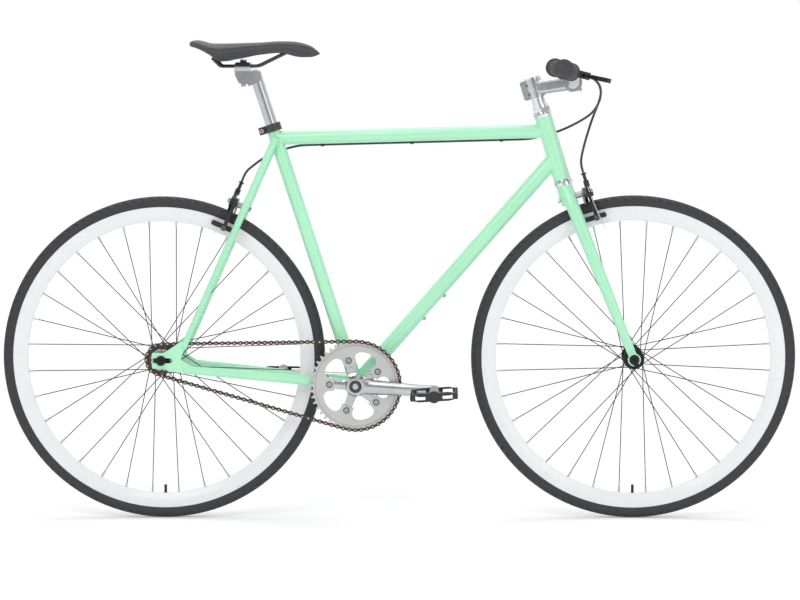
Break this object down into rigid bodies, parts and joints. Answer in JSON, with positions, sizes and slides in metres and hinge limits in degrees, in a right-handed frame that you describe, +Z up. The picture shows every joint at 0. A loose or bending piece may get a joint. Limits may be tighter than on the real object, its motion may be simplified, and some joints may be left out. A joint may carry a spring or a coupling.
{
  "type": "fixed gear bicycle",
  "caption": "Mint diamond-frame fixed gear bicycle with spoked deep-rim wheels, chain drive without a freewheel, riser bar and cable-pulled rim brakes.",
  "frame": {"origin": "on the ground midway between the axles, in the frame's middle plane", "axes": "+X forward, +Y to the rider's left, +Z up"},
  "size_m": [1.662, 0.5858, 1.0028],
  "materials": {
    "mint_paint": "gloss",
    "white_rim": "gloss",
    "polished_alloy": "polished",
    "satin_alloy": "satin",
    "black_metal": "gloss",
    "black_alloy": "satin",
    "chrome": "polished",
    "steel": "satin",
    "spoke_steel": "satin",
    "bronze_steel": "satin",
    "tyre_rubber": "matte",
    "tube_rubber": "matte",
    "grip_rubber": "matte",
    "cable_plastic": "gloss",
    "saddle_cover": "satin"
  },
  "bodies": {
    "frame": {"head_tube": "mint_paint", "top_tube": "mint_paint", "down_tube": "mint_paint", "seat_tube": "mint_paint", "bottom_bracket_shell": "mint_paint", "bottom_bracket_cups": "black_alloy", "chain_stays": "mint_paint", "seat_stays": "mint_paint", "rear_dropouts": "mint_paint", "headset_cups": "chrome", "bottle_screws": "steel", "cable_clips": "black_metal", "seat_collar": "black_metal", "rear_axle": "spoke_steel", "chain": "bronze_steel", "rear_brake_bracket": "steel", "rear_brake_cable": "cable_plastic"},
    "steering": {"fork": "mint_paint", "steerer": "steel", "headset_races": "chrome", "front_axle": "spoke_steel", "stem_quill": "chrome", "stem_body": "polished_alloy", "stem_faceplate": "polished_alloy", "stem_bolts": "steel", "handlebar": "polished_alloy", "grips": "grip_rubber", "brake_lever_brackets": "black_metal", "front_brake_bracket": "steel", "front_brake_cable": "cable_plastic"},
    "front_wheel": {"front_tyre": "tyre_rubber", "front_inner_tube": "tube_rubber", "front_rim": "white_rim", "front_spokes": "spoke_steel", "front_nipples": "satin_alloy", "front_hub": "black_alloy"},
    "rear_wheel": {"rear_tyre": "tyre_rubber", "rear_inner_tube": "tube_rubber", "rear_rim": "white_rim", "rear_spokes": "spoke_steel", "rear_nipples": "satin_alloy", "rear_hub": "black_alloy", "cog": "bronze_steel"},
    "crank_set": {"chainring": "satin_alloy", "chainring_bolts": "steel", "right_crank": "polished_alloy", "left_crank": "polished_alloy", "crank_spindle": "steel", "pedal_spindles": "steel"},
    "right_pedal": {"right_pedal": "black_metal"},
    "left_pedal": {"left_pedal": "black_metal"},
    "right_brake_lever": {"right_brake_lever": "black_alloy"},
    "left_brake_lever": {"left_brake_lever": "black_alloy"},
    "front_brake_housing_arm": {"front_brake_housing_arm": "black_alloy"},
    "front_brake_anchor_arm": {"front_brake_anchor_arm": "black_alloy"},
    "rear_brake_housing_arm": {"rear_brake_housing_arm": "black_alloy"},
    "rear_brake_anchor_arm": {"rear_brake_anchor_arm": "black_alloy"},
    "seat": {"seatpost": "polished_alloy", "saddle_rails": "black_metal", "saddle": "saddle_cover"}
  },
  "joints": [
    {"name": "steer", "type": "hinge", "parent": "frame", "child": "steering", "pos_m": [0.46044, 0, 0.32935], "axis": [-0.2924, 0, 0.9563], "range_deg": [-60, 60], "deforming": ["rear_brake_cable"]},
    {"name": "front_wheel_spin", "type": "hinge", "parent": "steering", "child": "front_wheel", "pos_m": [0.492, 0, 0.339], "axis": [0, 1, 0], "continuous": true},
    {"name": "rear_wheel_spin", "type": "hinge", "parent": "frame", "child": "rear_wheel", "pos_m": [-0.492, 0, 0.339], "axis": [0, 1, 0], "continuous": true, "deforming": ["chain"]},
    {"name": "crank_spin", "type": "hinge", "parent": "frame", "child": "crank_set", "pos_m": [-0.08751, 0, 0.2838], "axis": [0, 1, 0], "continuous": true, "deforming": ["chain"]},
    {"name": "right_pedal_spin", "type": "hinge", "parent": "crank_set", "child": "right_pedal", "pos_m": [0.07726, 0, 0.27516], "axis": [0, 1, 0], "continuous": true},
    {"name": "left_pedal_spin", "type": "hinge", "parent": "crank_set", "child": "left_pedal", "pos_m": [-0.25228, 0, 0.29244], "axis": [0, 1, 0], "continuous": true},
    {"name": "right_lever_pull", "type": "hinge", "parent": "steering", "child": "right_brake_lever", "pos_m": [0.38754, -0.16096, 0.92772], "axis": [-0.2419, -0.0106, -0.9702], "range_deg": [0, 25], "stiffness_Nm_per_rad": 1, "springref_deg": -11.46, "deforming": ["rear_brake_cable"]},
    {"name": "left_lever_pull", "type": "hinge", "parent": "steering", "child": "left_brake_lever", "pos_m": [0.38754, 0.16096, 0.92772], "axis": [0.2419, -0.0106, 0.9702], "range_deg": [0, 25], "stiffness_Nm_per_rad": 1, "springref_deg": -11.46, "deforming": ["front_brake_cable"]},
    {"name": "front_housing_arm_turn", "type": "hinge", "parent": "steering", "child": "front_brake_housing_arm", "pos_m": [0.35548, 0, 0.67266], "axis": [0.9563, 0, 0.2924], "range_deg": [0, 2.5], "deforming": ["front_brake_cable"]},
    {"name": "front_anchor_arm_turn", "type": "hinge", "parent": "steering", "child": "front_brake_anchor_arm", "pos_m": [0.35548, 0, 0.67266], "axis": [-0.9563, 0, -0.2924], "range_deg": [0, 2.5], "deforming": ["front_brake_cable"]},
    {"name": "rear_housing_arm_turn", "type": "hinge", "parent": "frame", "child": "rear_brake_housing_arm", "pos_m": [-0.31725, 0, 0.65388], "axis": [-0.914, 0, 0.4056], "range_deg": [0, 2.5], "deforming": ["rear_brake_cable"]},
    {"name": "rear_anchor_arm_turn", "type": "hinge", "parent": "frame", "child": "rear_brake_anchor_arm", "pos_m": [-0.31725, 0, 0.65388], "axis": [0.914, 0, -0.4056], "range_deg": [0, 2.5], "deforming": ["rear_brake_cable"]},
    {"name": "seatpost_slide", "type": "slide", "parent": "frame", "child": "seat", "axis": [-0.3057, 0, 0.9521], "range_m": [-0.05, 0.05]}
  ],
  "couplings": [
    {"joint": "crank_spin", "follows": "rear_wheel_spin", "ratio": 0.34783},
    {"joint": "front_housing_arm_turn", "follows": "left_lever_pull", "ratio": 0.09},
    {"joint": "front_anchor_arm_turn", "follows": "left_lever_pull", "ratio": 0.09},
    {"joint": "rear_housing_arm_turn", "follows": "right_lever_pull", "ratio": 0.09},
    {"joint": "rear_anchor_arm_turn", "follows": "right_lever_pull", "ratio": 0.09}
  ]
}
